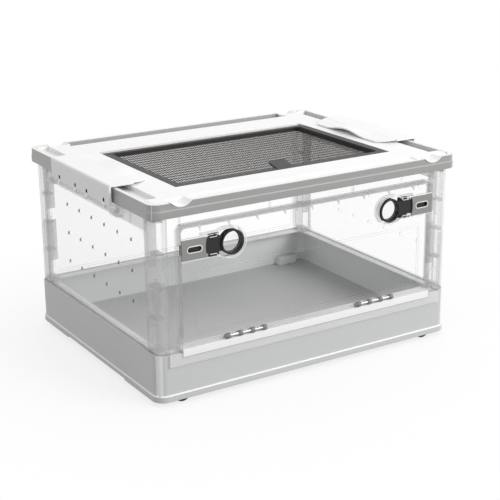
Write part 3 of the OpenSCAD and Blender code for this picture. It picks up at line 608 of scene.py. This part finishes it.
def move(x=0.0, y=0.0, z=0.0):
    bpy.ops.transform.translate(value=(x, y, z))


# Moulded pieces, with their edges rounded over

near = 0.05 * mm
bar_reach = 3.0 * mm
bar_rise = 1.6 * mm
weld = 0.002 * mm
flat_within = math.radians(0.6)
any_shape = math.radians(180.0)
bevel_from = math.radians(32.0)
smooth_below = math.radians(34.0)


def fuller_bars(piece):
    """The window's bars come up flush with the lid and reach further over the net."""
    net_low, net_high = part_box("window_mesh")
    net_gap = 0.1 * mm
    opening_x = net_high.x + net_gap
    opening_front = net_low.y - net_gap
    opening_back = net_high.y + net_gap
    round_r = 5.0 * mm
    bar_top = rim_high.z - 2.0 * mm
    half_tab = 12.7 * mm
    hinge_front = opening_back - 9.5 * mm
    bpy.ops.mesh.bisect(plane_co=(0, hinge_front, 0), plane_no=(0, 1, 0))

    def on_top(corner):
        return corner.z > bar_top - near

    def inner_edge(corner):
        return (on_top(corner) and abs(corner.x) < opening_x + near
            and opening_front - near < corner.y < opening_back + near)

    def at_tab(corner):
        return abs(corner.x) < half_tab and corner.z > bar_top + near

    def beside(corner):
        return abs(corner.x) > opening_x - round_r - near

    def front_edge(corner):
        straight = abs(corner.y - opening_front) < near
        in_corner = corner.y < opening_front + round_r + near and beside(corner)
        return inner_edge(corner) and not at_tab(corner) and (straight or in_corner)

    pick(piece, front_edge)
    move(y=bar_reach)
    pick(piece, lambda corner: inner_edge(corner) and corner.y > opening_back - round_r - near)
    move(y=-bar_reach)
    for side in (-1, 1):
        pick(piece, lambda corner: inner_edge(corner) and beside(corner) and side * corner.x > 0)
        move(x=-side * bar_reach)
    pick(piece, lambda corner: on_top(corner) and corner.y < hinge_front + near)
    move(z=bar_rise)


def softened(node, width):
    """The moulded piece with its edges rounded over, in place of the sharp one."""
    sharp = frame["nodes"][node]
    piece = sharp.copy()
    piece.data = sharp.data.copy()
    piece.parent = None
    piece.matrix_world = Matrix.Identity(4)
    bpy.context.scene.collection.objects.link(piece)
    only(piece)
    bpy.ops.object.mode_set(mode="EDIT")
    bpy.ops.mesh.select_all(action="SELECT")
    bpy.ops.mesh.remove_doubles(threshold=weld)
    bpy.ops.mesh.tris_convert_to_quads(face_threshold=flat_within, shape_threshold=any_shape)
    if node == "window_frame":
        fuller_bars(piece)
    bpy.ops.object.mode_set(mode="OBJECT")
    bevel = piece.modifiers.new("edge", "BEVEL")
    bevel.width = width
    bevel.segments = 2
    bevel.limit_method = "ANGLE"
    bevel.angle_limit = bevel_from
    bevel.miter_outer = "MITER_ARC"
    bevel.use_clamp_overlap = node.startswith(("clamp", "window"))
    bpy.ops.object.modifier_apply(modifier="edge")
    bpy.ops.object.shade_smooth_by_angle(angle=smooth_below)
    flats = piece.modifiers.new("flats", "WEIGHTED_NORMAL")
    flats.keep_sharp = True
    flats.weight = 100
    bpy.ops.object.modifier_apply(modifier="flats")
    settled(piece, node + "_moulded", body_of(sharp)[0], finish_of[node], node)


edge_width = {
    "base_tub": 0.8, "top_rim": 0.7, "lid_panel": 0.7, "door_sill": 0.5,
    "clamp_left": 0.5, "clamp_right": 0.5, "window_frame": 0.6,
    "latch_bolt_left": 0.4, "latch_bolt_right": 0.4,
    "latch_cover_left": 0.3, "latch_cover_right": 0.3,
    "hinge_bracket_left": 0.3, "hinge_bracket_right": 0.3,
    "wheel_front_left": 0.3, "wheel_front_right": 0.3,
    "wheel_back_left": 0.3, "wheel_back_right": 0.3,
}
for node, width in edge_width.items():
    softened(node, width * mm)


# The fine net in the lid's window

pitch_x = 3.5 * mm
pitch_y = 11.0 * mm
thread_x = 1.5 * mm
thread_y = 1.6 * mm
net_border = 2.2 * mm
half_long = 0.30 * mm
half_across = 0.25 * mm
half_border = 0.32 * mm


def bar(low, high):
    bpy.ops.mesh.primitive_cube_add(size=1.0, location=(low + high) / 2)
    thing = bpy.context.object
    thing.scale = high - low
    only(thing)
    bpy.ops.object.transform_apply(location=True, rotation=False, scale=True)
    return thing


def repeated(thing, count, step):
    array = thing.modifiers.new("row", "ARRAY")
    array.use_relative_offset = False
    array.use_constant_offset = True
    array.constant_offset_displace = step
    array.count = count
    only(thing)
    bpy.ops.object.modifier_apply(modifier="row")


def woven_net():
    """Long threads from side to side, with short ones between them like laid bricks."""
    low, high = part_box("window_mesh")
    columns = int((high.x - low.x) / pitch_x)
    rows = int((high.y - low.y) / pitch_y)
    left = (low.x + high.x) / 2 - columns * pitch_x / 2
    front = (low.y + high.y) / 2 - rows * pitch_y / 2
    level = (low.z + high.z) / 2

    def strip(x0, y0, x1, y1, half):
        return bar(Vector((x0, y0, level - half)), Vector((x1, y1, level + half)))

    nothing_selected()
    long_threads = strip(low.x, front - thread_y / 2, high.x, front + thread_y / 2, half_long)
    repeated(long_threads, rows + 1, (0, pitch_y, 0))
    pieces = [long_threads]
    for start, first, in_row, in_column in (
            (left, front, columns + 1, (rows + 1) // 2),
            (left + pitch_x / 2, front + pitch_y, columns, rows // 2)):
        across = strip(start - thread_x / 2, first, start + thread_x / 2, first + pitch_y,
            half_across)
        repeated(across, in_row, (pitch_x, 0, 0))
        repeated(across, in_column, (0, 2 * pitch_y, 0))
        pieces.append(across)
    for x0, y0, x1, y1 in (
            (low.x, low.y, high.x, low.y + net_border),
            (low.x, high.y - net_border, high.x, high.y),
            (low.x, low.y, low.x + net_border, high.y),
            (high.x - net_border, low.y, high.x, high.y)):
        pieces.append(strip(x0, y0, x1, y1, half_border))
    only(pieces[0])
    for piece in pieces:
        piece.select_set(True)
    bpy.ops.object.join()
    settled(bpy.context.object, "woven_net", "window", thread, "window_mesh")


woven_net()


# Floor, light and camera

def paper_floor():
    """White paper that keeps only a trace of the part's shadow, close by."""
    finish = Finish("floor paper")
    at = Spot(finish)
    seen = finish.seen()
    white = finish.add("ShaderNodeEmission", {}, {"Color": grey(1.0), "Strength": 1.0})
    paper = finish.surface({"Base Color": grey(0.93), "Roughness": 0.9})
    dull = finish.surface({"Base Color": grey(0.38), "Roughness": 0.9})
    shadow_r = 260.0 * mm
    shadow_share = 0.22
    away = (at.x.squared() + at.y.squared()).root()
    close = (1.0 - (away - shadow_r) / shadow_r).clamped()
    shown = finish.either(close * shadow_share, white, paper)
    return finish.done(finish.either(seen, dull, shown))


def floor():
    nothing_selected()
    bpy.ops.mesh.primitive_plane_add(size=40.0, location=(0, 0, -0.4 * mm))
    thing = bpy.context.object
    thing.name = "floor"
    thing.data.materials.append(paper_floor())


def studio():
    """Soft light from all round, and plain white where the camera looks past the part."""
    world = bpy.data.worlds.new("studio")
    bpy.context.scene.world = world
    world.use_nodes = True
    sky = Nodes(world.node_tree)
    soft = sky.add("ShaderNodeBackground", {}, {"Color": grey(1.0), "Strength": 0.64})
    white = sky.add("ShaderNodeBackground", {}, {"Color": grey(1.0), "Strength": 1.0})
    sky.end("ShaderNodeOutputWorld", sky.either(sky.seen(), soft, white))


def lamp(name, place, target, width, power):
    data = bpy.data.lights.new(name, "AREA")
    data.shape = "SQUARE"
    data.size = width
    data.energy = power
    thing = bpy.data.objects.new(name, data)
    bpy.context.scene.collection.objects.link(thing)
    thing.location = place
    thing.rotation_euler = (Vector(target) - Vector(place)).to_track_quat("-Z", "Y").to_euler()


def photo_camera(place, turn, rise, roll, focal_pixels, photo_pixels=500):
    """A camera at the photograph's viewing angle, with its lens given in the photo's pixels."""
    back = Vector((math.sin(turn) * math.cos(rise), -math.cos(turn) * math.cos(rise),
        math.sin(rise)))
    right = Vector((math.cos(turn), math.sin(turn), 0.0))
    above = back.cross(right)
    right_rolled = right * math.cos(roll) + above * math.sin(roll)
    above_rolled = above * math.cos(roll) - right * math.sin(roll)
    lens = bpy.data.cameras.new("camera")
    lens.sensor_width = 36.0
    lens.lens = focal_pixels / photo_pixels * lens.sensor_width
    camera = bpy.data.objects.new("camera", lens)
    bpy.context.scene.collection.objects.link(camera)
    stand = Matrix((right_rolled, above_rolled, back)).transposed().to_4x4()
    stand.translation = Vector(place)
    camera.matrix_world = stand
    bpy.context.scene.camera = camera


floor()
studio()
lamp("softbox above", place=(0.3, 0.1, 2.6), target=(0, 0, 0.2), width=2.2, power=13.0)
lamp("softbox front right", place=(1.5, -2.4, 1.5), target=(0, 0, 0.15), width=1.8, power=54.0)
photo_camera(place=(-0.8490, -1.3807, 0.6434), turn=math.radians(-32.08),
    rise=math.radians(18.08), roll=math.radians(-0.453), focal_pixels=1228.8)
bpy.context.scene.view_settings.view_transform = "Standard"
bpy.context.scene.cycles.transparent_max_bounces = 40
